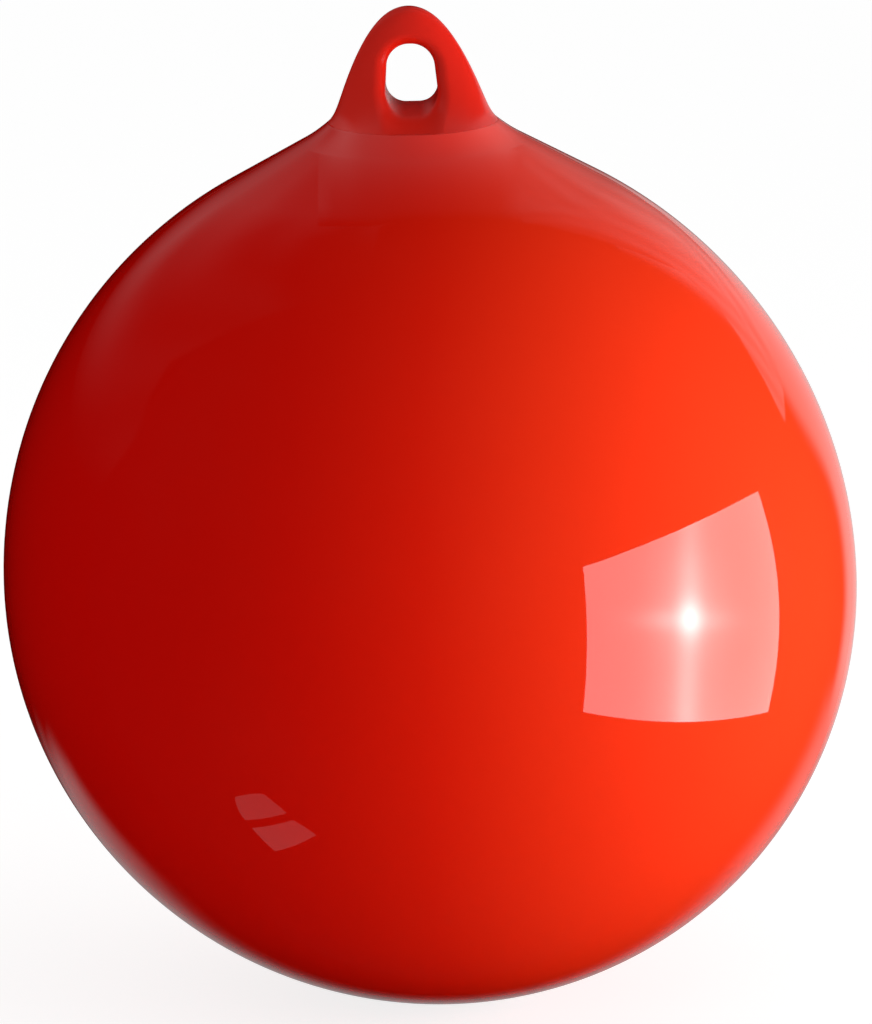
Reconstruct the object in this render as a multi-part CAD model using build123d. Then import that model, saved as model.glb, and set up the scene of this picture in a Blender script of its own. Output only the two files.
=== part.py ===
"""Inflatable mooring buoy: a round soft vinyl float with one moulded rope eye on top.

The hollow skin and the solid eye end are welded into one body. The air goes in through
a screw valve on the back shoulder, closed by a slotted plug with a washer under its head.
Sizes are in millimetres. The origin is the middle of the round float, which is also the
height of the water when the chain takes half of the lift. +Z is up, the eye is seen from
the front along +Y, and the valve is at the back.
"""
import os
from math import cos, radians, sin, tan
from build123d import *

os.makedirs("parts", exist_ok=True)

# Float
ball_radius = 190.0          # lower half, and the girth
shoulder_radius = 205.3      # the upper half is drawn a little taller than round
cone_slope = 29.0            # degrees from level, the straight run up to the eye
skin = 2.5                   # wall of the moulded vinyl
neck_radius = 37.4           # where the skin ends and the eye end shows
neck_rise = 1.8              # how much the skin sweeps up above its straight run there
neck_sweep = 12.0            # run over which it does
neck_bore_radius = 29.0      # opening in the skin, filled by the root of the eye end
neck_wall = 5.5              # skin thickened around that opening
neck_wall_reach = 52.0       # radius out to which it stays thick
neck_taper = 9.0             # run over which it thins down to the skin

# Eye end
eye_height = 50.9            # over the neck, where the skin ends
eye_depth = 25.0             # front to back, before the foot spreads
eye_outline_power = 0.462    # how quickly the front outline opens below the top
eye_depth_power = 0.30       # the same from the side, blunter
foot_spread_power = 4.0      # how late the foot spreads to the round neck
neck_flare = 2.2             # how much of its half width the foot gains just over the neck
neck_flare_power = 16.0
hole_rise = 7.1              # crest of the rope hole's floor over the neck
hole_height = 27.6
hole_crown_radius = 110.0    # of that floor from front to back, so the rope bears on a saddle
hole_width_low = 24.4
hole_width_high = 19.4
hole_corner_low = 9.4
hole_corner_high = 9.0
lip_radius = 5.4
lip_share = 0.52             # most of the wall beside the hole that the rounding may take
eye_levels = 15              # ovals the bell is drawn through
hole_sections = 3            # outlines the hole is drawn through, each side of the middle
root_flange_radius = 41.0
root_flange_thickness = 4.0
root_depth = 3.0             # how far the root stands below its flange

# Valve, on the back shoulder
valve_angle = 36.0           # degrees down from the top
pad_radius = 24.0
pad_wall = 9.0               # skin thickened around the valve
seat_radius = 14.0
seat_proud = 0.8             # how far the seat stands out of the skin
seat_rim_depth = 5.0
sleeve_radius = 10.0
seat_flange_thickness = 2.5
seat_bore_radius = 6.0
recess_radius = 9.5
recess_depth = 3.5
washer_thickness = 1.2
washer_radius = 8.9
washer_seat_gap = 0.03
plug_running_gap = 0.05
washer_bore_gap = 0.10
plug_head_gap = 0.35
plug_head_height = 2.4
plug_length = 16.0
plug_tip_chamfer = 1.0
plug_edge = 0.5
seat_edge = 0.5
washer_edge = 0.3
slot_width = 2.0
slot_depth = 1.5
slot_length = 14.0

# Outline of the float, from which skin, neck and eye end all take their places
shoulder_offset = shoulder_radius - ball_radius
tangent_angle = 90.0 - cone_slope
tangent_r = -shoulder_offset + shoulder_radius * cos(radians(tangent_angle))
tangent_z = shoulder_radius * sin(radians(tangent_angle))


def cone_height(radius, inward=0.0):
    """Height of the straight run at a radius, or of a face that much inside it."""
    return tangent_z + (tangent_r - radius) * tan(radians(cone_slope)) - inward / cos(radians(cone_slope))


def arc_point(angle, inward=0.0):
    """Point of the upper half, by its angle up from the girth."""
    reach = shoulder_radius - inward
    return (-shoulder_offset + reach * cos(radians(angle)), reach * sin(radians(angle)))


def turned(points_and_arcs):
    """Close a run of edges drawn in the XZ plane and turn it about the axis."""
    with BuildPart() as piece:
        with BuildSketch(Plane.XZ):
            with BuildLine():
                points_and_arcs()
            make_face()
        revolve(axis=Axis.Z)
    return piece.part


sweep_radius = neck_radius + neck_sweep
neck_z = cone_height(neck_radius) + neck_rise
eye_top = neck_z + eye_height
hole_bottom = neck_z + hole_rise


def skin_outline():
    inner = ball_radius - skin
    thin_r = neck_wall_reach + neck_taper
    inner_tangent = arc_point(tangent_angle, skin)
    outer_tangent = arc_point(tangent_angle)
    Line((0, -inner), (0, -ball_radius))
    ThreePointArc((0, -ball_radius), (ball_radius * cos(radians(45)), -ball_radius * sin(radians(45))),
                  (ball_radius, 0))
    ThreePointArc((ball_radius, 0), arc_point(tangent_angle / 2), outer_tangent)
    Line(outer_tangent, (sweep_radius, cone_height(sweep_radius)))
    TangentArc((sweep_radius, cone_height(sweep_radius)), (neck_radius, neck_z),
               tangent=(-cos(radians(cone_slope)), sin(radians(cone_slope))))
    Line((neck_radius, neck_z), (neck_bore_radius, neck_z))
    Line((neck_bore_radius, neck_z), (neck_bore_radius, cone_height(neck_bore_radius, neck_wall)))
    Line((neck_bore_radius, cone_height(neck_bore_radius, neck_wall)),
         (neck_wall_reach, cone_height(neck_wall_reach, neck_wall)))
    Line((neck_wall_reach, cone_height(neck_wall_reach, neck_wall)), (thin_r, cone_height(thin_r, skin)))
    Line((thin_r, cone_height(thin_r, skin)), inner_tangent)
    ThreePointArc(inner_tangent, arc_point(tangent_angle / 2, skin), (inner, 0))
    ThreePointArc((inner, 0), (inner * cos(radians(45)), -inner * sin(radians(45))), (0, -inner))


def valve_frame():
    """Plane square to the skin at the valve, its local Z pointing out of the float."""
    r, z = arc_point(90.0 - valve_angle)
    return Plane(origin=(0, r, z), x_dir=(1, 0, 0),
                 z_dir=(0, sin(radians(valve_angle)), cos(radians(valve_angle))))


valve_plane = valve_frame()


def round_bar(radius, low, high):
    """Cylinder on the valve's axis, between two distances from the skin."""
    bar = Cylinder(radius, high - low, align=(Align.CENTER, Align.CENTER, Align.MIN))
    return valve_plane * Pos(0, 0, low) * bar


pad_top = -pad_radius ** 2 / (2 * ball_radius) - skin / 4
recess_floor = seat_proud - recess_depth
shank_radius = seat_bore_radius - plug_running_gap


def build_shell():
    body = turned(skin_outline)
    body += round_bar(pad_radius, -pad_wall, pad_top)
    body -= round_bar(seat_radius, -seat_rim_depth, 2 * skin)
    body -= round_bar(sleeve_radius, -2 * pad_wall, 0)
    return body


def eye_sizes(z):
    """Half width and half depth of the eye end at a height."""
    down = (eye_top - z) / eye_height
    half_width = (neck_radius - neck_flare) * down ** eye_outline_power
    half_width += neck_flare * down ** neck_flare_power
    plate = eye_depth / 2 * down ** eye_depth_power
    half_depth = plate + (neck_radius - eye_depth / 2) * down ** foot_spread_power
    return half_width, half_depth


def hole_outline(y):
    """Arched outline of the rope hole at a distance from the middle, where its floor is lower."""
    low, high = hole_width_low / 2, hole_width_high / 2
    floor = -y ** 2 / (2 * hole_crown_radius)
    face = Polygon((-low, floor), (low, floor), (high, hole_height), (-high, hole_height), align=None)
    face = fillet(face.vertices().group_by(Axis.Y)[0], hole_corner_low)
    face = fillet(face.vertices().group_by(Axis.Y)[-1], hole_corner_high)
    return Plane.XZ.offset(-y) * Pos(0, hole_bottom, 0) * face


def hole_bar():
    """Bar of the rope hole, drawn through outlines that run out past the foot."""
    places = range(-hole_sections, hole_sections + 1)
    return loft([hole_outline(neck_radius * i / hole_sections) for i in places])


def root_outline():
    flange_z = cone_height(root_flange_radius, neck_wall)
    low_z = flange_z - root_flange_thickness - root_depth
    Polyline((0, low_z), (neck_bore_radius, low_z), (neck_bore_radius, flange_z - root_flange_thickness),
             (root_flange_radius, flange_z - root_flange_thickness), (root_flange_radius, flange_z),
             (neck_bore_radius, cone_height(neck_bore_radius, neck_wall)), (neck_bore_radius, neck_z),
             (0, neck_z), close=True)


def build_eye_end():
    """The bell round the rope hole is lofted from ovals that open out to the round neck,
    closer together near the top; the hole is cut through it and its edges are rounded."""
    sections = []
    for i in range(eye_levels):
        z = eye_top - eye_height * (1 - i / eye_levels) ** 2
        half_width, half_depth = eye_sizes(z)
        sections.append(Plane.XY.offset(z) * Ellipse(half_width, half_depth))
    bell = loft(sections + [Vertex(0, 0, eye_top)])
    bell = (bell - hole_bar()).solids()[0]
    rims = [e for e in bell.edges()
            if abs(e.center().Y) > lip_radius / 2 and e.center().Z > hole_bottom - 1
            and abs(e.center().X) < hole_width_low / 2 and e.bounding_box().max.Z < eye_top - 1]
    beside_hole = eye_sizes(hole_bottom + hole_height)[0] - hole_width_high / 2
    bell = bell.fillet(min(lip_radius, lip_share * beside_hole), rims)
    return bell + turned(root_outline)


def build_valve_seat():
    seat = round_bar(seat_radius, -seat_rim_depth, seat_proud)
    seat = fillet(seat.edges().sort_by(Axis((0, 0, 0), valve_plane.z_dir))[-1:], seat_edge)
    seat += round_bar(sleeve_radius, -pad_wall, -seat_rim_depth)
    seat += round_bar(seat_radius, -pad_wall - seat_flange_thickness, -pad_wall)
    seat -= round_bar(recess_radius, recess_floor, seat_proud + 1)
    seat -= round_bar(seat_bore_radius, -2 * pad_wall, 0)
    return seat


def build_valve_seal():
    low = recess_floor + washer_seat_gap
    washer = round_bar(washer_radius, low, low + washer_thickness)
    washer -= round_bar(shank_radius + washer_bore_gap, low - 1, low + washer_thickness + 1)
    return fillet(washer.edges().filter_by(GeomType.CIRCLE), washer_edge)


def build_valve_plug():
    under = recess_floor + washer_seat_gap + washer_thickness
    top = under + plug_head_height
    along = Axis((0, 0, 0), valve_plane.z_dir)
    head = round_bar(recess_radius - plug_head_gap, under, top)
    head = fillet(head.edges().sort_by(along)[-1:], plug_edge)
    shank = round_bar(shank_radius, under - plug_length, under)
    shank = chamfer(shank.edges().sort_by(along)[:1], plug_tip_chamfer)
    slot = Box(slot_length, slot_width, 2 * slot_depth)
    return head + shank - valve_plane * Pos(0, 0, top) * slot


pieces = {
    "shell": build_shell(),
    "eye_end": build_eye_end(),
    "valve_seat": build_valve_seat(),
    "valve_seal": build_valve_seal(),
    "valve_plug": build_valve_plug(),
}
for name, piece in pieces.items():
    solids = piece.solids()
    print(name, len(solids), round(sum(s.volume for s in solids) / 1000, 1), "cm3",
          all(s.is_valid for s in solids))
    export_step(solids[0], os.path.join("parts", name + ".step"))
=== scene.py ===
"""Looks of an inflatable mooring buoy: a round float of soft red vinyl with one rope eye.

The skin and the eye end share one outline: the float's, with the bell of the rope eye
standing on it. The skin is a turned grid laid on that outline. The eye end is a mesh
drawn on its zero surface. Lengths are worked out in millimetres and placed in metres.
"""
import math

import bpy
import numpy as np
from mathutils import Matrix, Vector


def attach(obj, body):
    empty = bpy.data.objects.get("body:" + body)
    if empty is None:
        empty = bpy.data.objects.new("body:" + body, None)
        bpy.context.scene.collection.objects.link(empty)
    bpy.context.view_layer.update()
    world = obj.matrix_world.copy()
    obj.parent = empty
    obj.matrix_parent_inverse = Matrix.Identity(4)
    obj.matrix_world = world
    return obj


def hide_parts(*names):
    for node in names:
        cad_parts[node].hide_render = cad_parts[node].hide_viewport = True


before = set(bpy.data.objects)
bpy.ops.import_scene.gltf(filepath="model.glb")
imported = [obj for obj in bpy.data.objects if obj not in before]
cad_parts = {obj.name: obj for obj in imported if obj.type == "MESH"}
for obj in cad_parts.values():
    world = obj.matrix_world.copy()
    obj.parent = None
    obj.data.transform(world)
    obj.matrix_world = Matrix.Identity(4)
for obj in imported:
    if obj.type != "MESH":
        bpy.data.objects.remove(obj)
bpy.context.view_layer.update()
MM = 0.001

# Float
BALL_RADIUS = 190.0          # lower half, and the girth
SHOULDER_RADIUS = 205.3      # the upper half is a little taller than round
CONE_SLOPE = math.radians(29.0)
SKIN = 2.5
NECK_RADIUS = 37.4           # where the skin ends and the eye end shows
NECK_RISE = 1.8              # how much the skin sweeps up above its straight run there
NECK_SWEEP = 12.0            # run over which it does
NECK_BORE_RADIUS = 29.0
NECK_WALL = 5.5
NECK_WALL_REACH = 52.0
NECK_TAPER = 9.0
NECK_EDGE = 0.03             # how far the skin's edge is eased inward
NECK_EDGE_DROPS = (0.04, 0.02)

# Rows of the skin's grid, and places round it
SWEEP_ROWS = 15
CONE_ROWS = 14
SHOULDER_ROWS = 72
BALL_ROWS = 101
INNER_BALL_ROWS = 40
INNER_SHOULDER_ROWS = 26
SKIN_COLUMNS = 288

# Eye end
EYE_HEIGHT = 50.9
EYE_FOOT_WIDTH = 35.2        # half width of the foot, before it flares to the neck
EYE_OUTLINE_POWER = 0.462
SIDE_FLARE_POWER = 16.0
EYE_DEPTH = 25.0
EYE_DEPTH_POWER = 0.30
FOOT_SPREAD_POWER = 4.0
HOLE_RISE = 7.1
HOLE_HEIGHT = 27.6
HOLE_FLOOR_CROWN = 110.0
HOLE_WIDTH_LOW = 24.4
HOLE_WIDTH_HIGH = 19.4
HOLE_CORNER_LOW = 9.4
HOLE_CORNER_HIGH = 9.0
LIP_RADIUS = 6.0
TIP_FLAT = 0.06              # taken off the bell's top, which is a point otherwise
SKIN_EDGE_STEP = 0.04        # how far the bell stays below the skin's edge
FOOT_DEPTH = 2.8             # how far the bell stands in the neck
FOOT_GAP = 0.1
ROOT_GAP = 0.05
ROOT_FLANGE_RADIUS = 41.0
ROOT_FLANGE_HALF = 2.0       # half its thickness
ROOT_DEPTH = 5.0             # from the middle of the flange to the end of the root
EYE_CELL = 0.85

# Valve
VALVE_ANGLE = math.radians(36.0)
PAD_RADIUS = 24.0
PAD_WALL = 9.0
PAD_SKIN_SHARE = 0.9         # how deep in the skin's wall the pad ends
PAD_LIFT = 1.2
SEAT_RADIUS = 14.0
SEAT_GAP = 0.05
SEAT_PROUD = 0.8
SEAT_RIM_DEPTH = 5.0
SEAT_GROOVE = (11.3, 11.5, 12.2, 12.4)
SEAT_GROOVE_DEPTH = 0.35
SLEEVE_RADIUS = 10.0
SEAT_FLANGE = 2.5
SEAT_BORE_RADIUS = 6.0
RECESS_RADIUS = 9.5
RECESS_DEPTH = 3.5
WASHER_SEAT_GAP = 0.03
WASHER_BORE_GAP = 0.1
WASHER_THICKNESS = 1.2
WASHER_RADIUS = 8.9
SHANK_RADIUS = 5.95
SHANK_GAP = 0.06
PLUG_HEAD_GAP = 0.35
PLUG_HEAD_HEIGHT = 2.4
PLUG_HEAD_EDGE = 0.5
PLUG_LENGTH = 16.0
PLUG_HEAD_OVERLAP = 0.5
PLUG_TIP = 1.0
PLUG_TIP_SLOPE = 0.7
PLUG_CELL = 0.34
SLOT_WIDTH = 2.0
SLOT_DEPTH = 1.5
SLOT_LENGTH = 14.0
SLOT_EDGE = 0.3
DISH_RADIUS = 60.0           # the head's face is hollowed a little
DISH_DEPTH = 0.3
DISH_REACH = 7.6
THREAD_PITCH = 2.0
THREAD_DEPTH = 0.8
THREAD_FLANK = 2.6           # steepness of its flanks
THREAD_CREST = 0.45          # width of its crest
THREAD_START = 2.2           # below the head
THREAD_RUN_OUT = 1.2
CUT_ABOVE = 8.0              # how far a cut in the skin runs on outside
BAR_SIDES = 128
TURNED_COLUMNS = 96
COLLAR_COLUMNS = 128
COLLAR_ROWS = ((14.12, -0.8), (14.12, 0.25), (14.3, 0.5), (14.8, 0.62), (16.2, 0.64),
               (17.4, 0.58), (18.3, 0.38), (18.9, 0.12), (19.3, -0.05), (19.3, -0.8))

# How the inflated skin leans: a pull along one diagonal, none at the valve
LOPSIDED = 0.0105
VALVE_CALM = 70.0

# Steps for slopes of the outline, and limits on how points settle on it
SLOPE_STEP = 0.02
NET_SLOPE_STEP = 0.05
LEAST_SLOPE = 0.05
SETTLE_LIMIT = 0.4
ON_OUTLINE = 0.06            # a point this near counts as on the outer face
SAME_WAY = 0.97              # a face this much in line with the outline belongs to it
FLAT_REACH = 6.0             # this far round the pad, faces keep their own normals
EYE_ROUNDS = 4               # of settling
PLUG_ROUNDS = 3
SLIDE_ROUNDS = 8
LEAST_CLIMB = 0.3
NET_MARGIN = 3.0             # of the eye's net round the eye

# Steps of a camera ray toward the float
MARCH_START = 350.0          # before the float's middle
MARCH_ROUNDS = 120
MARCH_SHARE = 0.9            # of the distance left
MARCH_LIMIT = 20.0

# Finishes: widths and heights in metres, scales of the noise per metre
PARTING_WIDTH = 0.0007
# Noise that moves the painted light and shade across the vinyl: its scale per metre, and how far it moves it
PAINTED_LIGHT_DRIFT_SCALE, PAINTED_LIGHT_DRIFT = 4.0, 0.035
SMUDGE_SCALE, SMUDGE = 14.0, 0.05
SKIN_GRAIN_SCALE = 700.0
MOTTLE_SCALE = 60.0
WEAR_SCALE, WEAR = 180.0, 0.12
PLASTIC_GRAIN_SCALE = 2500.0

# Camera, in metres and in pixels of the photograph's frame
CAMERA_RISE = math.radians(14.0)
CAMERA_FAR = 3.0
CAMERA_ROLL = math.radians(1.7)
FOCAL_PX = 6718.0
CENTRE_PX = (430.3, 578.0)
IMAGE_PX = (872, 1024)
SENSOR = 36.0

# Light, distances in metres
SOFT_LIGHT = 0.48
DARK_ROOM = 0.004
KEY_POWER = 25.5
KEY_FAR = 1.05
KEY_SIZE = (1.30, 0.85)
FLOOR_REACH = 9.0
FLOOR_SHADED = 0.35
FLOOR_GLOW = 0.82
CARD_FAR = 0.008
VEIL_FAR = 2.4
NEAR_VEIL_Z = 0.30
NECK_VEIL_FAR = 17.0         # in millimetres
BACKDROP_FAR = 3.2

# Softbox and window panes as they show in the float, in pixels of the photograph's frame:
# top, right, low and left edge, each with its two ends and a place between them
SOFTBOX = (((583, 567), (672, 533), (758, 491)), ((758, 491), (779, 600), (768, 712)),
           ((583, 712), (680, 722), (768, 712)), ((583, 567), (587, 640), (583, 712)))
SOFTBOX_LAMP = (690, 618)
SOFTBOX_CLOTH = 4.4
KEY_CORNERS = ((583, 567), (758, 491), (772, 712), (583, 712))
PANE_ONE = (((235, 797), (250, 794), (264, 794)), ((264, 794), (275, 803), (287, 813)),
            ((245, 820), (266, 818), (287, 813)), ((235, 797), (238, 809), (245, 820)))
PANE_TWO = (((252, 828), (273, 825), (293, 820)), ((293, 820), (305, 827), (316, 835)),
            ((275, 851), (296, 845), (316, 835)), ((252, 828), (263, 840), (275, 851)))
PANE_GLOWS = (0.44, 0.48)
SOFTBOX_STEPS = 110
PANE_STEPS = 8

# Pale ceiling and far wall: their lower edge as it shows in the float, in the same pixels,
# and their brightness by azimuth and elevation, in degrees
VEIL_EDGE = ((98, 500), (110, 476), (137, 437), (150, 398), (171, 362), (215, 340), (262, 318),
             (318, 302), (366, 283), (362, 262), (366, 243), (376, 229), (394, 222), (430, 220),
             (460, 217), (500, 220), (540, 224), (590, 236), (640, 253), (683, 272), (715, 302),
             (740, 338), (765, 382), (785, 423))
VEIL_EDGE_STEPS = 12         # between two of those places
VEIL_CORE = (0.2, 0.09)      # bearing in radians and rise of the place it closes toward
VEIL_SHARES = (0, 0.006, 0.012, 0.02, 0.03, 0.06, 0.1, 0.15, 0.2, 0.27, 0.35, 0.45, 0.55,
               0.66, 0.78, 0.9, 1.0)
VEIL_EDGE_LEVEL = 0.30
VEIL_EDGE_FADE = ((480, 0.02), (520, 0.16), (600, 0.16), (680, 0.02))
VEIL_BY_AZIMUTH = ((-80, 0.03), (-57, 0.03), (-47, 0.05), (-34, 0.09), (-24, 0.21),
                   (-10, 0.2), (10, 0.2), (25, 0.55), (50, 0.55))
VEIL_BY_ELEVATION = ((0, 1.0), (14, 1.0), (30, 0.56), (57, 0.42), (68, 0.35))

# Its part over the front of the straight run to the eye
NEAR_VEIL_SPAN = (318, 522)
NEAR_VEIL_GRID = (28, 18)
NEAR_VEIL_LOW = ((318, 226), (374, 226), (394, 222), (430, 220), (460, 218), (522, 222))
NEAR_VEIL_HIGH = ((318, 152), (330, 155), (374, 160), (430, 163), (500, 158), (522, 157))
NEAR_VEIL_LEVELS = ((318, 0.76), (348, 0.76), (366, 0.56), (404, 0.50), (430, 0.52),
                    (450, 0.55), (485, 0.68), (522, 0.8))
NEAR_VEIL_TOP, NEAR_VEIL_FALL = 0.56, 2.15

# Its part over the sweep up to the eye: angles round the neck in degrees, widths in mm
NECK_VEIL_SPAN = (-70, 78)
NECK_VEIL_GRID = (45, 9)
NECK_VEIL_PAST = 0.6
NECK_VEIL_SHIFT = 3.5
NECK_VEIL_LEVELS = ((-40, 0.62), (-34, 0.74), (-28, 0.82), (-19, 0.56), (0, 0.46),
                    (18, 0.56), (30, 0.85), (40, 0.95))
NECK_VEIL_LOW, NECK_VEIL_RISE = 0.58, 0.32

# Far wall and table behind the float, by azimuth and elevation in degrees
BACKDROP_GRID = (65, 41)
WALL_LEVEL = 0.60
TABLE_LEVEL = 0.32
TABLE_BY_DEPTH = ((0, 1.0), (29, 1.0), (36, 0.55), (40, 0.15), (44, 0.0))

shoulder_offset = SHOULDER_RADIUS - BALL_RADIUS
tangent_angle = math.pi / 2 - CONE_SLOPE
tangent_r = -shoulder_offset + SHOULDER_RADIUS * math.cos(tangent_angle)
tangent_z = SHOULDER_RADIUS * math.sin(tangent_angle)


def cone_height(radius, inward=0.0):
    """Height of the straight run up to the eye, or of a face that much inside it."""
    return tangent_z + (tangent_r - radius) * math.tan(CONE_SLOPE) - inward / math.cos(CONE_SLOPE)


neck_z = cone_height(NECK_RADIUS) + NECK_RISE
eye_top = neck_z + EYE_HEIGHT
flange_z = cone_height(ROOT_FLANGE_RADIUS, NECK_WALL) - ROOT_FLANGE_HALF
root_low = flange_z - ROOT_DEPTH
pad_top = -SKIN * PAD_SKIN_SHARE - PAD_RADIUS ** 2 / (2 * BALL_RADIUS) + PAD_LIFT
recess_floor = SEAT_PROUD - RECESS_DEPTH
washer_low = recess_floor + WASHER_SEAT_GAP
head_low = washer_low + WASHER_THICKNESS
head_top = head_low + PLUG_HEAD_HEIGHT
valve_r = -shoulder_offset + SHOULDER_RADIUS * math.sin(VALVE_ANGLE)
valve_point = np.array([0.0, valve_r, SHOULDER_RADIUS * math.cos(VALVE_ANGLE)])
valve_out = np.array([0.0, math.sin(VALVE_ANGLE), math.cos(VALVE_ANGLE)])
valve_turn = Vector((0, 0, 1)).rotation_difference(Vector(valve_out)).to_matrix()


def by_table(value, table):
    """Value read between the pairs of a table."""
    places, levels = zip(*table)
    return np.interp(value, places, levels)


def smooth_step(low, high, value):
    """0 below the first value, 1 above the second, and eased between them."""
    t = np.clip((value - low) / (high - low), 0, 1)
    return t * t * (3 - 2 * t)


def hump(value, width):
    """1 at zero, falling off to both sides."""
    return np.exp(-(value / width) ** 2)


# The outline

def swept_up(radius):
    """How much the skin stands over its straight run close to the eye end."""
    return NECK_RISE * np.clip((NECK_RADIUS + NECK_SWEEP - radius) / NECK_SWEEP, 0, 1) ** 2


def float_field(p):
    """Distance outside the float's outline, in millimetres."""
    r = np.hypot(p[:, 0], p[:, 1])
    z = p[:, 2]
    low = np.sqrt(r * r + z * z) - BALL_RADIUS
    shoulder = np.hypot(r + shoulder_offset, z) - SHOULDER_RADIUS
    above = z - swept_up(r) - tangent_z
    cone = (r - tangent_r) * math.cos(tangent_angle) + above * math.sin(tangent_angle)
    high = np.where(np.arctan2(z, r + shoulder_offset) > tangent_angle, cone, shoulder)
    return np.where(z < 0, low, high)


def bell_sizes(z):
    """Half width and half depth of the bell at a height; round and straight below the neck."""
    down = np.clip((eye_top - z) / EYE_HEIGHT, 1e-4, 1.0)
    half_width = EYE_FOOT_WIDTH * down ** EYE_OUTLINE_POWER
    half_width = half_width + (NECK_RADIUS - EYE_FOOT_WIDTH) * down ** SIDE_FLARE_POWER
    half_depth = EYE_DEPTH / 2 * down ** EYE_DEPTH_POWER
    half_depth = half_depth + (NECK_RADIUS - EYE_DEPTH / 2) * down ** FOOT_SPREAD_POWER
    return half_width, half_depth


def bell_ratio(p):
    """How far outside the bell, as a share of its size at that height."""
    half_width, half_depth = bell_sizes(p[:, 2])
    return np.sqrt((p[:, 0] / half_width) ** 2 + (p[:, 1] / half_depth) ** 2) - 1.0


def slope_of(field, p, step=SLOPE_STEP):
    """Gradient of a field at each point."""
    out = np.empty_like(p)
    for axis in range(3):
        shift = np.zeros(3)
        shift[axis] = step
        out[:, axis] = (field(p + shift) - field(p - shift)) / (2 * step)
    return out


def bell_field(p):
    """Nearly the distance outside the bell."""
    steep = np.linalg.norm(slope_of(bell_ratio, p), axis=1)
    return np.maximum(bell_ratio(p) / np.maximum(steep, 1e-3), p[:, 2] - eye_top + TIP_FLAT)


def hole_field(p):
    """Distance outside the rope hole's arched bar, negative inside the hole. The floor is
    crowned from front to back, so that the rope bears on a saddle."""
    x = np.abs(p[:, 0])
    z = p[:, 2] - neck_z - HOLE_RISE
    floor_share = np.clip(1 - z / HOLE_HEIGHT, 0, 1) ** 2
    z = z + floor_share * p[:, 1] ** 2 / (2 * HOLE_FLOOR_CROWN)
    low = HOLE_WIDTH_LOW / 2
    high = HOLE_WIDTH_HIGH / 2
    taper = math.atan2(low - high, HOLE_HEIGHT)
    side = (x - low) * math.cos(taper) + z * math.sin(taper)
    round_off = np.where(z < HOLE_HEIGHT / 2, HOLE_CORNER_LOW, HOLE_CORNER_HIGH)
    to_side = side + round_off
    level = np.where(z < HOLE_HEIGHT / 2, -z, z - HOLE_HEIGHT) + round_off
    corner = np.hypot(np.maximum(to_side, 0), np.maximum(level, 0))
    return np.minimum(np.maximum(to_side, level), 0) + corner - round_off


def eye_field(p):
    """The eye end's surface: the bell, pierced by the hole with round lips, and the root and
    flange that hold it inside the skin."""
    outside = bell_field(p) + SKIN_EDGE_STEP
    into_hole = -hole_field(p)
    a = np.maximum(outside + LIP_RADIUS, 0)
    b = np.maximum(into_hole + LIP_RADIUS, 0)
    pierced = np.where((outside > -LIP_RADIUS) | (into_hole > -LIP_RADIUS),
                       np.where((a > 0) & (b > 0), np.hypot(a, b) - LIP_RADIUS,
                                np.maximum(outside, into_hole)), -LIP_RADIUS)
    r = np.hypot(p[:, 0], p[:, 1])
    z = p[:, 2]
    foot = np.maximum(pierced, neck_z - FOOT_DEPTH + FOOT_GAP - z)
    root = np.maximum(np.maximum(r - NECK_BORE_RADIUS + ROOT_GAP, root_low - z), z - neck_z)
    flange = np.maximum(r - ROOT_FLANGE_RADIUS, np.abs(z - flange_z) - ROOT_FLANGE_HALF)
    return np.minimum(np.minimum(foot, root), flange)


def lean(p):
    """Moves points as the inflated skin leans, fading to nothing round the valve."""
    near = np.exp(-np.sum((p - valve_point) ** 2, axis=1) / (2 * VALVE_CALM ** 2))
    pull = LOPSIDED * (1 - near)
    out = p.copy()
    out[:, 0] -= pull * p[:, 2]
    out[:, 2] -= pull * p[:, 0]
    return out


def unlean(points):
    """Where points of the leaned skin were before, near enough for its normals."""
    return points - (lean(points) - points)


def lean_normals(normals):
    """Turns the normals of unleaned points as lean() turns the surface."""
    out = normals.copy()
    out[:, 0] += LOPSIDED * normals[:, 2]
    out[:, 2] += LOPSIDED * normals[:, 0]
    return out / np.linalg.norm(out, axis=1)[:, None]


def skin_field(p):
    """Distance outside the leaning skin."""
    return float_field(unlean(p))


# Meshes

def cell_points(value, cells):
    """Mean place where the surface crosses the edges of each cell, counted in cells, and
    how many edges it crosses."""
    total = np.zeros(cells + (3,))
    count = np.zeros(cells)
    corners = np.stack(np.meshgrid(*[np.arange(n) for n in cells], indexing="ij"), -1)
    for axis in range(3):
        others = [k for k in range(3) if k != axis]
        for one in (0, 1):
            for two in (0, 1):
                start = [0, 0, 0]
                start[others[0]], start[others[1]] = one, two
                end = list(start)
                end[axis] = 1
                va = value[tuple(slice(s, s + n) for s, n in zip(start, cells))]
                vb = value[tuple(slice(s, s + n) for s, n in zip(end, cells))]
                crossed = (va < 0) != (vb < 0)
                spot = (corners + np.array(start)).astype(float)
                spot[..., axis] += np.where(crossed, va / np.where(crossed, va - vb, 1), 0)
                total += np.where(crossed[..., None], spot, 0)
                count += crossed
    return total, count


def cell_quads(inside, index, cells):
    """A quad through the four cells round each grid edge that the surface crosses."""
    quads = []
    for axis in range(3):
        others = [k for k in range(3) if k != axis]
        cut = [slice(1, cells[k]) for k in range(3)]
        cut[axis] = slice(0, cells[axis])
        ahead = list(cut)
        ahead[axis] = slice(1, cells[axis] + 1)
        a, b = inside[tuple(cut)], inside[tuple(ahead)]
        where = np.argwhere(a != b)
        rising = a[tuple(where.T)]
        base = where + np.array([1 if k != axis else 0 for k in range(3)])
        ring = []
        for one, two in ((0, 0), (1, 0), (1, 1), (0, 1)):
            spot = base.copy()
            spot[:, others[0]] -= one
            spot[:, others[1]] -= two
            ring.append(index[tuple(spot.T)])
        quad = np.stack(ring, 1)
        turn = rising if axis != 1 else ~rising
        quad[~turn] = quad[~turn][:, ::-1]
        quads.append(quad)
    return np.concatenate(quads)


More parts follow.
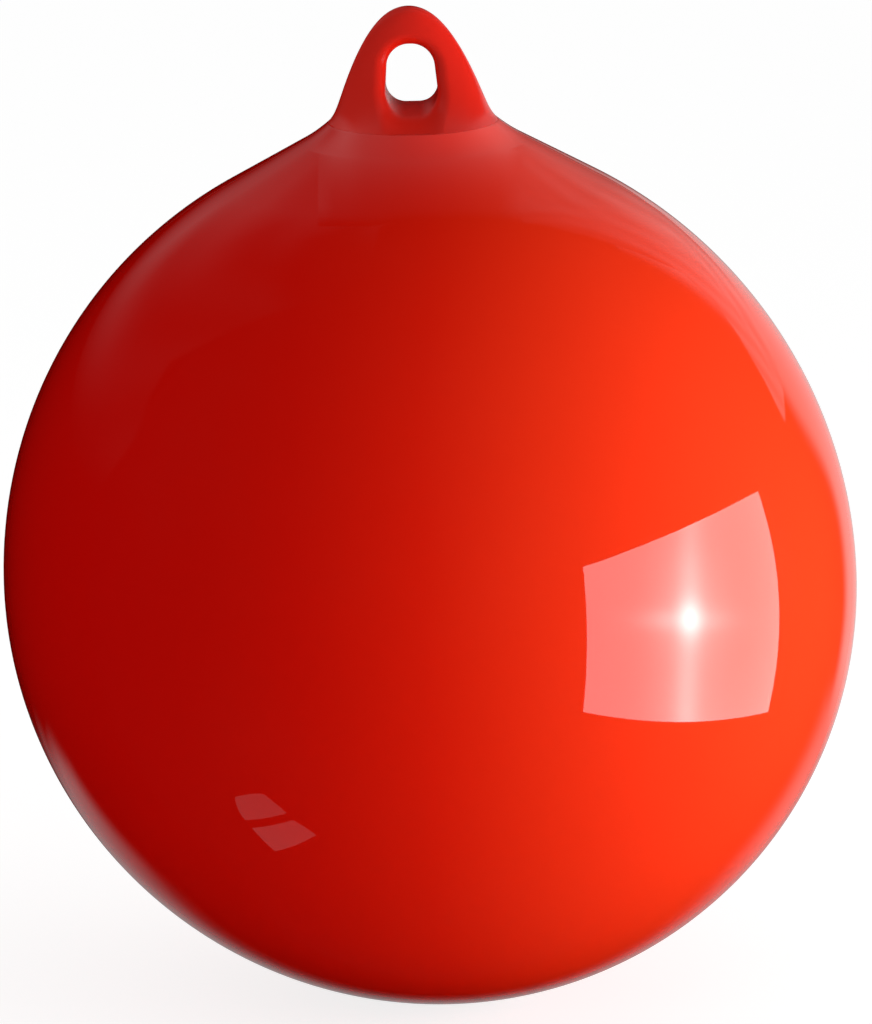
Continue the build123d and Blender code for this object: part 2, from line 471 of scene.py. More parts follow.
def net_of(field, low, high, cell):
    """Surface net of a field's zero surface: quads with one point in each crossed cell."""
    axes = [np.arange(a, b + cell, cell) for a, b in zip(low, high)]
    shape = tuple(len(a) for a in axes)
    grid = np.stack(np.meshgrid(*axes, indexing="ij"), -1).reshape(-1, 3)
    value = field(grid).reshape(shape)
    cells = tuple(n - 1 for n in shape)
    total, count = cell_points(value, cells)
    used = count > 0
    index = -np.ones(cells, int)
    index[used] = np.arange(used.sum())
    points = total[used] / count[used][:, None] * cell + np.array(low)
    return points, cell_quads(value < 0, index, cells)


def settle(field, points, rounds):
    """Moves points along the field's gradient onto its zero surface."""
    for _ in range(rounds):
        steep = slope_of(field, points, NET_SLOPE_STEP)
        size = np.sum(steep ** 2, axis=1)
        step = field(points) / np.maximum(size, LEAST_SLOPE)
        points = points - steep * np.clip(step, -SETTLE_LIMIT, SETTLE_LIMIT)[:, None]
    return points


def mesh_object(name, points, faces, material):
    """Smooth mesh in the scene, from points in millimetres."""
    mesh = bpy.data.meshes.new(name)
    mesh.from_pydata((np.asarray(points) * MM).tolist(), [], [list(f) for f in faces])
    mesh.shade_smooth()
    obj = bpy.data.objects.new(name, mesh)
    bpy.context.scene.collection.objects.link(obj)
    mesh.materials.append(material)
    return obj


def read_array(items, key, width, kind=float):
    """One property of all vertices, corners or faces, as an array."""
    out = np.empty(len(items) * width, kind)
    items.foreach_get(key, out)
    return out.reshape(-1, width) if width > 1 else out


def ring_points(rows, columns):
    """Points of rows, each a radius and a height, turned about the Z axis."""
    turn = np.arange(columns) * 2 * math.pi / columns
    rows = np.array(rows)
    x = rows[:, :1] * np.cos(turn)
    y = rows[:, :1] * np.sin(turn)
    z = np.repeat(rows[:, 1:2], columns, axis=1)
    return np.stack([x, y, z], -1).reshape(-1, 3)


def band_faces(pairs, columns):
    """Quads between the two rings of each pair."""
    faces = []
    for a, b in pairs:
        for j in range(columns):
            k = (j + 1) % columns
            faces.append((a * columns + j, b * columns + j, b * columns + k, a * columns + k))
    return faces


def closed_faces(count, columns):
    """Quads between neighbouring rings, and from the last ring to the first."""
    return band_faces([(i, (i + 1) % count) for i in range(count)], columns)


def grid_faces(rows, columns):
    return [(i * columns + j, (i + 1) * columns + j, (i + 1) * columns + j + 1, i * columns + j + 1)
            for i in range(rows - 1) for j in range(columns - 1)]


def face_outward(obj):
    """Turns a closed mesh the right way out if its volume comes out negative."""
    mesh = obj.data
    mesh.calc_loop_triangles()
    corners = read_array(mesh.loop_triangles, "vertices", 3, int)
    a, b, c = np.moveaxis(read_array(mesh.vertices, "co", 3)[corners], 1, 0)
    volume = np.sum(a * np.cross(b, c)) / 6
    print(obj.name, "volume cm3", round(volume * 1e6, 2), "triangles", len(corners))
    if volume < 0:
        mesh.flip_normals()


# Materials

def new_material(name):
    material = bpy.data.materials.new(name)
    material.use_nodes = True
    tree = material.node_tree
    return material, tree, tree.nodes["Principled BSDF"]


def node(tree, kind, **values):
    """New node, with values for its inputs or its settings."""
    made = tree.nodes.new(kind)
    for key, value in values.items():
        name = key.replace("_", " ")
        if key in made.inputs:
            made.inputs[key].default_value = value
        elif name in made.inputs:
            made.inputs[name].default_value = value
        else:
            setattr(made, key, value)
    return made


def colour_ramp(tree, stops):
    ramp = node(tree, "ShaderNodeValToRGB")
    elements = ramp.color_ramp.elements
    while len(elements) < len(stops):
        elements.new(0.5)
    for element, (place, colour) in zip(elements, stops):
        element.position = place
        element.color = tuple(colour) + (1,)
    return ramp


def map_range(tree, source, low, high, new_low, new_high):
    made = node(tree, "ShaderNodeMapRange", From_Min=low, From_Max=high, To_Min=new_low, To_Max=new_high)
    tree.links.new(source, made.inputs["Value"])
    return made.outputs["Result"]


def add_up(tree, one, two):
    made = node(tree, "ShaderNodeMath", operation="ADD")
    tree.links.new(one, made.inputs[0])
    tree.links.new(two, made.inputs[1])
    return made.outputs[0]


def noise_of(tree, spot, scale, detail, rough=0.5):
    made = node(tree, "ShaderNodeTexNoise", Scale=scale, Detail=detail, Roughness=rough)
    tree.links.new(spot.outputs["Object"], made.inputs["Vector"])
    return made.outputs["Fac"]


def raise_by(tree, shader, height):
    """Bump of the given height, in metres."""
    bump = node(tree, "ShaderNodeBump", Strength=1.0, Distance=1.0)
    tree.links.new(height, bump.inputs["Height"])
    tree.links.new(bump.outputs["Normal"], shader.inputs["Normal"])


def parting_line(tree, spot, height):
    """Place across the float, and the fine flash left where the two halves of the mould
    met, in the plane of the eye."""
    split = node(tree, "ShaderNodeSeparateXYZ")
    tree.links.new(spot.outputs["Object"], split.inputs[0])
    away = node(tree, "ShaderNodeMath", operation="ABSOLUTE")
    tree.links.new(split.outputs["Y"], away.inputs[0])
    return split.outputs["X"], map_range(tree, away.outputs[0], 0.0, PARTING_WIDTH, height, 0.0)


def vinyl(name, stops, sheen, shine, pebble, flash):
    """Glossy pigmented vinyl, with painted light and shade: the colour runs along the stops across X,
    so one side of a piece is painted as lit and the other as shaded; the gloss is broken by faint smudges
    and a very fine skin."""
    material, tree, shader = new_material(name)
    link = tree.links.new
    spot = node(tree, "ShaderNodeTexCoord")
    across, ridge = parting_line(tree, spot, flash)
    # Painted light and shade: the colour ramp is read along X across the float, so one side is painted as
    # lit and the other as shaded; a soft noise makes that boundary wander.
    drift = map_range(tree, noise_of(tree, spot, PAINTED_LIGHT_DRIFT_SCALE, 3.0), 0.2, 0.8, -PAINTED_LIGHT_DRIFT, PAINTED_LIGHT_DRIFT)
    place = map_range(tree, across, -BALL_RADIUS * MM, BALL_RADIUS * MM, 0.0, 1.0)
    ramp = colour_ramp(tree, stops)
    link(add_up(tree, place, drift), ramp.inputs["Fac"])
    link(ramp.outputs["Color"], shader.inputs["Base Color"])
    smudge = noise_of(tree, spot, SMUDGE_SCALE, 5.0, 0.62)
    link(map_range(tree, smudge, 0.45, 0.75, sheen, sheen + SMUDGE), shader.inputs["Roughness"])
    grain = map_range(tree, noise_of(tree, spot, SKIN_GRAIN_SCALE, 2.0), 0.0, 1.0, 0.0, pebble)
    raise_by(tree, shader, add_up(tree, ridge, grain))
    shader.inputs["Specular IOR Level"].default_value = shine
    return material


def moulded_plastic(name, deep, pale, roughness, grain):
    """Satin moulded plastic with a fine grain, a mottled tone and rougher worn patches."""
    material, tree, shader = new_material(name)
    link = tree.links.new
    spot = node(tree, "ShaderNodeTexCoord")
    ramp = colour_ramp(tree, [(0.3, deep), (0.7, pale)])
    link(noise_of(tree, spot, MOTTLE_SCALE, 4.0, 0.6), ramp.inputs["Fac"])
    link(ramp.outputs["Color"], shader.inputs["Base Color"])
    worn = noise_of(tree, spot, WEAR_SCALE, 4.0)
    link(map_range(tree, worn, 0.3, 0.7, roughness, roughness + WEAR), shader.inputs["Roughness"])
    fine = noise_of(tree, spot, PLASTIC_GRAIN_SCALE, 2.0)
    raise_by(tree, shader, map_range(tree, fine, 0.0, 1.0, 0.0, grain))
    return material


# Painted light and shade: the skin is painted a deep red on its left (-X), the side away from the key light,
# and a brighter orange red on its right (+X), where the key light falls.
SKIN_PAINTED_LIGHT_STOPS = [(0.12, (0.80, 0.0030, 0.0012)), (0.35, (0.83, 0.0062, 0.0018)),
              (0.50, (0.86, 0.0125, 0.0030)), (0.63, (0.87, 0.026, 0.0058)),
              (0.81, (0.88, 0.040, 0.0090)), (1.00, (0.88, 0.050, 0.0115))]
# Painted light and shade: the eye is painted lighter on its left (-X) and darker on its right (+X), where
# the key light falls, to soften its shading.
EYE_PAINTED_LIGHT_AND_SHADE_STOPS = [(0.38, (0.92, 0.014, 0.004)), (0.50, (0.80, 0.014, 0.005)),
             (0.62, (0.62, 0.014, 0.006))]
skin_material = vinyl("skin_vinyl", SKIN_PAINTED_LIGHT_STOPS, sheen=0.035, shine=0.5, pebble=0.000004, flash=0.00006)
eye_material = vinyl("eye_vinyl", EYE_PAINTED_LIGHT_AND_SHADE_STOPS, sheen=0.24, shine=0.32, pebble=0.000012, flash=0.00008)
seat_material = moulded_plastic("valve_seat_plastic", (0.50, 0.50, 0.48), (0.62, 0.62, 0.60),
                                roughness=0.38, grain=0.000006)
plug_material = moulded_plastic("valve_plug_plastic", (0.022, 0.022, 0.024), (0.035, 0.035, 0.038),
                                roughness=0.34, grain=0.000008)
seal_material = moulded_plastic("valve_seal_rubber", (0.012, 0.012, 0.012), (0.022, 0.022, 0.022),
                                roughness=0.62, grain=0.000010)


# The skin and the eye end

def arc_rows(offset, radius, start, end, count):
    """Rows along an arc about a centre that far from the axis, without its first place."""
    return [(offset + radius * math.cos(a), radius * math.sin(a))
            for a in np.linspace(start, end, count)[1:]]


def skin_rows():
    """Radius and height along the wall's outer side to the pole, and back up inside."""
    rim = NECK_RADIUS - NECK_EDGE
    sweep_end = NECK_RADIUS + NECK_SWEEP
    outer = [(NECK_BORE_RADIUS, neck_z - FOOT_DEPTH), (rim, neck_z - FOOT_DEPTH),
             (rim, neck_z - NECK_EDGE_DROPS[0]), (NECK_RADIUS, neck_z - NECK_EDGE_DROPS[1])]
    outer += [(r, cone_height(r) + float(swept_up(r)))
              for r in np.linspace(NECK_RADIUS, sweep_end, SWEEP_ROWS)[1:]]
    outer += [(r, cone_height(r)) for r in np.linspace(sweep_end, tangent_r, CONE_ROWS)[1:]]
    outer += arc_rows(-shoulder_offset, SHOULDER_RADIUS, tangent_angle, 0, SHOULDER_ROWS)
    outer += arc_rows(0, BALL_RADIUS, 0, -math.pi / 2, BALL_ROWS)[:-1]
    inner = arc_rows(0, BALL_RADIUS - SKIN, -math.pi / 2, 0, INNER_BALL_ROWS)
    inner += arc_rows(-shoulder_offset, SHOULDER_RADIUS - SKIN, 0, tangent_angle, INNER_SHOULDER_ROWS)
    thin = NECK_WALL_REACH + NECK_TAPER
    inner += [(thin, cone_height(thin, SKIN)),
              (NECK_WALL_REACH, cone_height(NECK_WALL_REACH, NECK_WALL)),
              (NECK_BORE_RADIUS, cone_height(NECK_BORE_RADIUS, NECK_WALL))]
    return outer, inner


def build_skin():
    outer, inner = skin_rows()
    points = ring_points(outer + inner, SKIN_COLUMNS)
    split, count = len(outer), len(outer) + len(inner)
    pairs = [(i, i + 1) for i in range(count - 1) if i != split - 1] + [(count - 1, 0)]
    faces = band_faces(pairs, SKIN_COLUMNS)
    for level, height, inward in ((split - 1, -BALL_RADIUS, False), (split, SKIN - BALL_RADIUS, True)):
        pole = len(points)
        points = np.vstack([points, [[0, 0, height]]])
        for j in range(SKIN_COLUMNS):
            k = (j + 1) % SKIN_COLUMNS
            ring = (level * SKIN_COLUMNS + j, pole, level * SKIN_COLUMNS + k)
            faces.append(ring[::-1] if inward else ring)
    obj = mesh_object("float_skin", lean(points), faces, skin_material)
    valve_bar(obj, "UNION", PAD_RADIUS, -PAD_WALL, pad_top)
    valve_bar(obj, "DIFFERENCE", SEAT_RADIUS + SEAT_GAP, -SEAT_RIM_DEPTH, CUT_ABOVE)
    valve_bar(obj, "DIFFERENCE", SLEEVE_RADIUS + SEAT_GAP, -2 * PAD_WALL, 0.0)
    smooth_outside(obj)
    return obj


def valve_bar(obj, operation, radius, low, high):
    """Adds or cuts a round bar on the valve's axis, between two distances from the skin."""
    bpy.ops.mesh.primitive_cylinder_add(vertices=BAR_SIDES, radius=radius * MM, depth=(high - low) * MM)
    bar = bpy.context.object
    middle = valve_point + valve_out * (low + high) / 2
    bar.matrix_world = Matrix.Translation(Vector(middle * MM)) @ valve_turn.to_4x4()
    cut = obj.modifiers.new("valve", "BOOLEAN")
    cut.operation = operation
    cut.solver = "EXACT"
    cut.object = bar
    bpy.context.view_layer.update()
    bpy.context.view_layer.objects.active = obj
    bpy.ops.object.modifier_apply(modifier=cut.name)
    mesh = bar.data
    bpy.data.objects.remove(bar)
    bpy.data.meshes.remove(mesh)


def smooth_outside(obj):
    """Gives the outer face the true normals of the outline, and the rest its own edges."""
    mesh = obj.data
    mesh.shade_smooth()
    spots = unlean(read_array(mesh.vertices, "co", 3) / MM)
    on_outside = np.abs(float_field(spots)) < ON_OUTLINE
    true = lean_normals(slope_of(float_field, spots))
    corner = read_array(mesh.loops, "vertex_index", 1, int)
    own = read_array(mesh.corner_normals, "vector", 3)
    sides = read_array(mesh.polygons, "loop_total", 1, int)
    flat = np.repeat(read_array(mesh.polygons, "normal", 3), sides, axis=0)
    outside = on_outside[corner] & (np.sum(true[corner] * flat, axis=1) > SAME_WAY)
    near_valve = np.linalg.norm(spots - valve_point, axis=1) < PAD_RADIUS + FLAT_REACH
    chosen = np.where(near_valve[corner][:, None], flat, own)
    chosen = np.where(outside[:, None], true[corner], chosen)
    mesh.normals_split_custom_set(chosen.tolist())


def build_eye():
    reach = ROOT_FLANGE_RADIUS + NET_MARGIN
    cell = EYE_CELL
    low, high = (-reach, -reach, root_low - NET_MARGIN), (reach, reach, eye_top + 2)
    points, quads = net_of(eye_field, low, high, cell)
    points = settle(eye_field, points, EYE_ROUNDS)
    normals = slope_of(eye_field, points, NET_SLOPE_STEP)
    obj = mesh_object("rope_eye", lean(points), quads, eye_material)
    obj.data.normals_split_custom_set_from_vertices(lean_normals(normals).tolist())
    return obj


# The valve

def at_valve(points):
    """Places points drawn about the Z axis on the valve's axis, Z out of the skin."""
    return np.asarray(points) @ np.array(valve_turn).T + valve_point


def rounded(corners, steps=4):
    """Closed outline with each corner, given as radius, height and rounding, eased."""
    out = []
    for i, (r, z, ease) in enumerate(corners):
        here = np.array([r, z])
        before = np.array(corners[i - 1][:2]) - here
        after = np.array(corners[(i + 1) % len(corners)][:2]) - here
        one = here + before / np.linalg.norm(before) * ease
        two = here + after / np.linalg.norm(after) * ease
        for t in np.linspace(0, 1, steps + 1):
            out.append((1 - t) ** 2 * one + 2 * t * (1 - t) * here + t ** 2 * two)
    return out


def turned_piece(name, corners, material):
    rows = rounded(corners)
    points = ring_points(rows, TURNED_COLUMNS)
    obj = mesh_object(name, at_valve(points), closed_faces(len(rows), TURNED_COLUMNS), material)
    obj.data.set_sharp_from_angle(angle=math.radians(40))
    return obj


def build_seat():
    low = -PAD_WALL - SEAT_FLANGE
    groove_floor = SEAT_PROUD - SEAT_GROOVE_DEPTH
    return turned_piece("valve_seat_ring", [
        (SEAT_BORE_RADIUS, recess_floor, 0.3), (RECESS_RADIUS, recess_floor, 0.25),
        (RECESS_RADIUS, SEAT_PROUD, 0.45),
        (SEAT_GROOVE[0], SEAT_PROUD, 0.15), (SEAT_GROOVE[1], groove_floor, 0.12),
        (SEAT_GROOVE[2], groove_floor, 0.12), (SEAT_GROOVE[3], SEAT_PROUD, 0.15),
        (SEAT_RADIUS, SEAT_PROUD, 0.6), (SEAT_RADIUS, -SEAT_RIM_DEPTH, 0.2),
        (SLEEVE_RADIUS, -SEAT_RIM_DEPTH, 0.2), (SLEEVE_RADIUS, -PAD_WALL, 0.2),
        (SEAT_RADIUS, -PAD_WALL, 0.3), (SEAT_RADIUS, low, 0.5),
        (SEAT_BORE_RADIUS, low, 0.3)], seat_material)


def build_washer():
    bore = SHANK_RADIUS + WASHER_BORE_GAP
    return turned_piece("valve_washer", [
        (bore, washer_low, 0.3), (WASHER_RADIUS, washer_low, 0.4), (WASHER_RADIUS, head_low, 0.4),
        (bore, head_low, 0.3)], seal_material)


def soft_max(a, b, ease):
    """The larger of two fields, with the crease between them rounded."""
    inner = np.minimum(np.maximum(a, b), -ease)
    return inner + np.hypot(np.maximum(a + ease, 0), np.maximum(b + ease, 0))


def plug_field(p):
    """Slotted head with eased edges on a threaded shank, about the Z axis."""
    x, y, z = p[:, 0], p[:, 1], p[:, 2]
    r = np.hypot(x, y)
    slab = np.abs(z - (head_low + head_top) / 2) - PLUG_HEAD_HEIGHT / 2
    head = soft_max(r - RECESS_RADIUS + PLUG_HEAD_GAP, slab, PLUG_HEAD_EDGE)
    slot = np.maximum(np.abs(x) - SLOT_LENGTH / 2, np.abs(y) - SLOT_WIDTH / 2)
    slot = np.maximum(slot, head_top - SLOT_DEPTH - z)
    head = soft_max(head, -slot, SLOT_EDGE)
    dish = np.sqrt(r * r + (z - head_top - DISH_RADIUS) ** 2) - (DISH_RADIUS + DISH_DEPTH)
    head = np.where(r < DISH_REACH, np.maximum(head, -dish), head)
    turn = (z / THREAD_PITCH - np.arctan2(y, x) / (2 * math.pi)) % 1.0
    ramp = np.clip(np.abs(turn - 0.5) * THREAD_FLANK - THREAD_CREST, 0, 1)
    fade = np.clip((head_low - THREAD_START - z) / THREAD_RUN_OUT, 0, 1)
    groove = THREAD_DEPTH * ramp * fade
    tip = head_low - PLUG_LENGTH
    shank = np.maximum(r - SHANK_RADIUS + SHANK_GAP + groove, tip - z)
    shank = np.maximum(shank, (r - SHANK_RADIUS + PLUG_TIP + tip - z) * PLUG_TIP_SLOPE)
    return np.minimum(head, np.maximum(shank, z - head_low - PLUG_HEAD_OVERLAP))


def build_plug():
    reach = RECESS_RADIUS + 1
    low = (-reach, -reach, head_low - PLUG_LENGTH - 1)
    high = (reach, reach, head_top + 1)
    points, quads = net_of(plug_field, low, high, PLUG_CELL)
    points = settle(plug_field, points, PLUG_ROUNDS)
    return mesh_object("valve_screw_plug", at_valve(points), quads, plug_material)


def onto_skin(points):
    """Slides points along the valve's axis onto the skin."""
    for _ in range(SLIDE_ROUNDS):
        climb = np.maximum(slope_of(float_field, points) @ valve_out, LEAST_CLIMB)
        points = points - valve_out * (float_field(points) / climb)[:, None]
    return points


def build_collar():
    """Low moulded ring where the seat is welded into the skin."""
    turn = np.arange(COLLAR_COLUMNS) * 2 * math.pi / COLLAR_COLUMNS
    points = []
    for r, up in COLLAR_ROWS:
        ring = np.stack([r * np.cos(turn), r * np.sin(turn), np.zeros(COLLAR_COLUMNS)], -1)
        ring = onto_skin(at_valve(ring))
        points.append(ring + slope_of(float_field, ring) * up)
    faces = closed_faces(len(COLLAR_ROWS), COLLAR_COLUMNS)
    obj = mesh_object("valve_collar", np.concatenate(points), faces, skin_material)
    obj.data.set_sharp_from_angle(angle=math.radians(60))
    return obj


def dress():
    """Every piece, the body that it rides on, what it stands for and its finish."""
    pieces = [(build_skin(), "buoy", "shell", "skin"), (build_eye(), "buoy", "eye_end", "eye"),
              (build_seat(), "buoy", "valve_seat", "valve"), (build_collar(), "buoy", None, "skin"),
              (build_washer(), "plug", "valve_seal", "seal"), (build_plug(), "plug", "valve_plug", "plug")]
    for piece, body, stands_for, slot in pieces:
        face_outward(piece)
        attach(piece, body)
        if stands_for:
            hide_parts(stands_for)


# Floor, surroundings and camera

def build_floor():
    size = FLOOR_REACH
    z = -BALL_RADIUS * MM
    mesh = bpy.data.meshes.new("floor")
    corners = [(-size, -size, z), (size, -size, z), (size, size, z), (-size, size, z)]
    mesh.from_pydata(corners, [], [(0, 1, 2, 3)])
    obj = bpy.data.objects.new("floor", mesh)
    bpy.context.scene.collection.objects.link(obj)
    material, tree, shader = new_material("pale_floor")
    link = tree.links.new
    shader.inputs["Base Color"].default_value = (0.8, 0.8, 0.8, 1)
    shader.inputs["Roughness"].default_value = 0.9
    shader.inputs["Specular IOR Level"].default_value = 0.0
    path = node(tree, "ShaderNodeLightPath")
    seen = node(tree, "ShaderNodeBsdfDiffuse", Color=(FLOOR_SHADED, FLOOR_SHADED, FLOOR_SHADED, 1))
    glow = node(tree, "ShaderNodeEmission", Strength=FLOOR_GLOW)
    both = node(tree, "ShaderNodeAddShader")
    mix = node(tree, "ShaderNodeMixShader")
    link(seen.outputs[0], both.inputs[0])
    link(glow.outputs[0], both.inputs[1])
    link(path.outputs["Is Camera Ray"], mix.inputs["Fac"])
    link(shader.outputs[0], mix.inputs[1])
    link(both.outputs[0], mix.inputs[2])
    link(mix.outputs[0], tree.nodes["Material Output"].inputs["Surface"])
    mesh.materials.append(material)
    obj.visible_glossy = False


def build_world():
    """White to the camera, a soft even light on the object, and a dark room in its gloss."""
    world = bpy.data.worlds.new("studio")
    bpy.context.scene.world = world
    world.use_nodes = True
    tree = world.node_tree
    tree.nodes.clear()
    link = tree.links.new
    path = node(tree, "ShaderNodeLightPath")
    white = node(tree, "ShaderNodeBackground", Color=(1, 1, 1, 1), Strength=1.0)
    soft = node(tree, "ShaderNodeBackground", Color=(1, 1, 1, 1), Strength=SOFT_LIGHT)
    dark = node(tree, "ShaderNodeBackground", Color=(1, 1, 1, 1), Strength=DARK_ROOM)
    first = node(tree, "ShaderNodeMixShader")
    second = node(tree, "ShaderNodeMixShader")
    out = node(tree, "ShaderNodeOutputWorld")
    link(path.outputs["Is Glossy Ray"], first.inputs["Fac"])
    link(soft.outputs[0], first.inputs[1])
    link(dark.outputs[0], first.inputs[2])
    link(path.outputs["Is Camera Ray"], second.inputs["Fac"])
    link(first.outputs[0], second.inputs[1])
    link(white.outputs[0], second.inputs[2])
    link(second.outputs[0], out.inputs["Surface"])


def camera_axes():
    """Directions toward the camera, and to the right and up in its picture."""
    back = Vector((0, -math.cos(CAMERA_RISE), math.sin(CAMERA_RISE)))
    up = Vector((0, math.sin(CAMERA_RISE), math.cos(CAMERA_RISE)))
    right = Vector((1, 0, 0))
    c, s = math.cos(CAMERA_ROLL), math.sin(CAMERA_ROLL)
    return back, c * right - s * up, c * up + s * right


def build_camera():
    back, right, up = camera_axes()
    data = bpy.data.cameras.new("camera")
    obj = bpy.data.objects.new("camera", data)
    bpy.context.scene.collection.objects.link(obj)
    data.sensor_fit = "AUTO"
    data.sensor_width = SENSOR
    data.lens = SENSOR * FOCAL_PX / IMAGE_PX[1]
    aim = -back * FOCAL_PX + right * (IMAGE_PX[0] / 2 - CENTRE_PX[0]) - up * (IMAGE_PX[1] / 2 - CENTRE_PX[1])
    forward = aim.normalized()
    side = forward.cross(up).normalized()
    turn = Matrix((side, side.cross(forward), -forward)).transposed()
    obj.matrix_world = Matrix.Translation(back * CAMERA_FAR) @ turn.to_4x4()
    data.clip_start, data.clip_end = 0.1, 50
    bpy.context.scene.camera = obj


# What the gloss mirrors

def mirrored(p, d):
    """Directions after a mirror on the skin at points given in millimetres."""
    n = slope_of(skin_field, p)
    n /= np.linalg.norm(n, axis=1)[:, None]
    return d - 2 * np.sum(d * n, axis=1)[:, None] * n


def mirror_rays(places):
    """Where mirror rays leave the float, and which way, for places in the photograph's frame."""
    back, right, up = (np.array(v) for v in camera_axes())
    places = np.asarray(places, float)
    d = -back * FOCAL_PX + right * (places[:, :1] - CENTRE_PX[0]) - up * (places[:, 1:] - CENTRE_PX[1])
    d /= np.linalg.norm(d, axis=1)[:, None]
    start = back * CAMERA_FAR / MM
    t = np.full(len(d), CAMERA_FAR / MM - MARCH_START)
    for _ in range(MARCH_ROUNDS):
        t += MARCH_SHARE * np.clip(skin_field(start + d * t[:, None]), -MARCH_LIMIT, MARCH_LIMIT)
    p = start + d * t[:, None]
    return p * MM, mirrored(p, d)


def bearings(d):
    """Azimuth from straight behind the float toward the right, and elevation, in degrees."""
    return np.degrees(np.arctan2(d[:, 0], d[:, 1])), np.degrees(np.arcsin(np.clip(d[:, 2], -1, 1)))


def out_to_sphere(p, d, reach):
    """Where rays that start within it meet a sphere about the float's middle."""
    along = np.sum(p * d, axis=1)
    t = -along + np.sqrt(along ** 2 - np.sum(p * p, axis=1) + reach ** 2)
    return p + d * t[:, None]


def glow_sheet(name, points, faces, glow):
    """A sheet that only mirror rays see, glowing as much as is given at each point."""
    mesh = bpy.data.meshes.new(name)
    mesh.from_pydata(np.asarray(points).tolist(), [], faces)
    paint = mesh.color_attributes.new("glow", "FLOAT_COLOR", "POINT")
    paint.data.foreach_set("color", np.repeat(np.asarray(glow, np.float32), 4))
    material = bpy.data.materials.new(name)
    material.use_nodes = True
    tree = material.node_tree
    tree.nodes.clear()
    colour = node(tree, "ShaderNodeVertexColor", layer_name="glow")
    lamp = node(tree, "ShaderNodeEmission", Strength=1.0)
    out = node(tree, "ShaderNodeOutputMaterial")
    tree.links.new(colour.outputs["Color"], lamp.inputs["Color"])
    tree.links.new(lamp.outputs[0], out.inputs["Surface"])
    mesh.materials.append(material)
    obj = bpy.data.objects.new(name, mesh)
    bpy.context.scene.collection.objects.link(obj)
    obj.visible_camera = False
    obj.visible_diffuse = False
    obj.visible_shadow = False
    obj.visible_transmission = False


def curve_through(a, b, c, t):
    """Points on the smooth curve from a through b to c."""
    a, b, c = (np.array(v, float) for v in (a, b, c))
    t = t[:, None]
    bend = 2 * b - (a + c) / 2
    return (1 - t) ** 2 * a + 2 * t * (1 - t) * bend + t ** 2 * c


def mirrored_card(name, edges, glow, steps):
    """A four-sided sheet whose image in the float has these edges, top and low from left to
    right, right and left downward. It hangs close over the float, so that no rim seen from
    behind mirrors it."""
    t = np.linspace(0, 1, steps)
    top, right, low, left = (curve_through(*edge, t) for edge in edges)
    u, v = (w.ravel() for w in np.meshgrid(np.arange(steps), np.arange(steps), indexing="ij"))
    fu, fv = t[u][:, None], t[v][:, None]
    places = (1 - fv) * top[u] + fv * low[u] + (1 - fu) * left[v] + fu * right[v]
    places -= (1 - fu) * (1 - fv) * top[0] + fu * (1 - fv) * top[-1]
    places -= (1 - fu) * fv * low[0] + fu * fv * low[-1]
    p, d = mirror_rays(places)
    glow_sheet(name, p + d * CARD_FAR, grid_faces(steps, steps), glow(places))


def softbox_glow(places):
    """Brightest over the lamp behind the cloth, with the cross of the cloth's frame. Places
    and widths are in pixels of the photograph's frame."""
    x, y = places[:, 0] - SOFTBOX_LAMP[0], places[:, 1] - SOFTBOX_LAMP[1]
    far = np.hypot(x, y)
    aside = x + 4 * np.clip(y / 90, 0, 1)
    upright = 3.4 * hump(aside, 12) + 2.6 * hump(aside, 34)
    upright = upright * (1 - 0.4 * smooth_step(40, 90, -y))
    level = 4.0 * hump(y - 2, 11) * hump(x + 8, 38)
    lamp = 12.0 * np.exp(-(x / 11) ** 2 - (y / 19) ** 2) + 2.5 * hump(far, 30)
    return SOFTBOX_CLOTH + upright * (1 - 0.35 * hump(far, 20)) + level + lamp


def even_glow(light):
    return lambda places: np.full(len(places), light)


def veil_light(a, e):
    """How bright the ceiling and far wall are, by azimuth and elevation in degrees."""
    level = by_table(a, VEIL_BY_AZIMUTH)
    to_right = smooth_step(-20, 0, a)
    level = level * (1 - to_right + to_right * by_table(e, VEIL_BY_ELEVATION))
    level = level * (1 + 0.22 * np.sin(a * 1.15 + 0.4) * smooth_step(12, 20, a))
    folds = np.sin(0.30 * e + 0.11 * a + 1.2 * np.sin(0.09 * a))
    folds = 0.30 * folds * (1 - smooth_step(-40, -15, a))
    level = level * (1 + folds) * np.where(a < 0, smooth_step(8, 22, e), 1.0)
    level = level * (1 - 0.75 * smooth_step(56, 66, e) * (1 - smooth_step(-16, -6, a)))
    return level * (1 - hump(a, 14) * (1 - smooth_step(30, 50, e)))


def build_veil():
    """The pale ceiling and far wall that show over the top of the float, with an uneven edge."""
    edge = np.array(VEIL_EDGE, float)
    share = np.array(VEIL_SHARES)
    last = len(edge) - 1
    along = np.linspace(0, last, VEIL_EDGE_STEPS * last + 1)
    line = np.stack([np.interp(along, np.arange(last + 1), edge[:, k]) for k in (0, 1)], -1)
    d = out_to_sphere(*mirror_rays(line), VEIL_FAR) / VEIL_FAR
    bearing, rise = VEIL_CORE
    core = np.array([math.sin(bearing), math.cos(bearing), rise])
    v = d[:, None, :] * (1 - share[None, :, None]) + core * share[None, :, None]
    v = (v / np.linalg.norm(v, axis=2)[:, :, None]).reshape(-1, 3)
    slow = by_table(line[:, 0], VEIL_EDGE_FADE)[:, None]
    edge_level = VEIL_EDGE_LEVEL + (1 - VEIL_EDGE_LEVEL) * np.clip(share[None, :] / slow, 0, 1)
    glow = veil_light(*bearings(v)) * edge_level.ravel()
    glow_sheet("veil", v * VEIL_FAR, grid_faces(len(line), len(share)), glow)


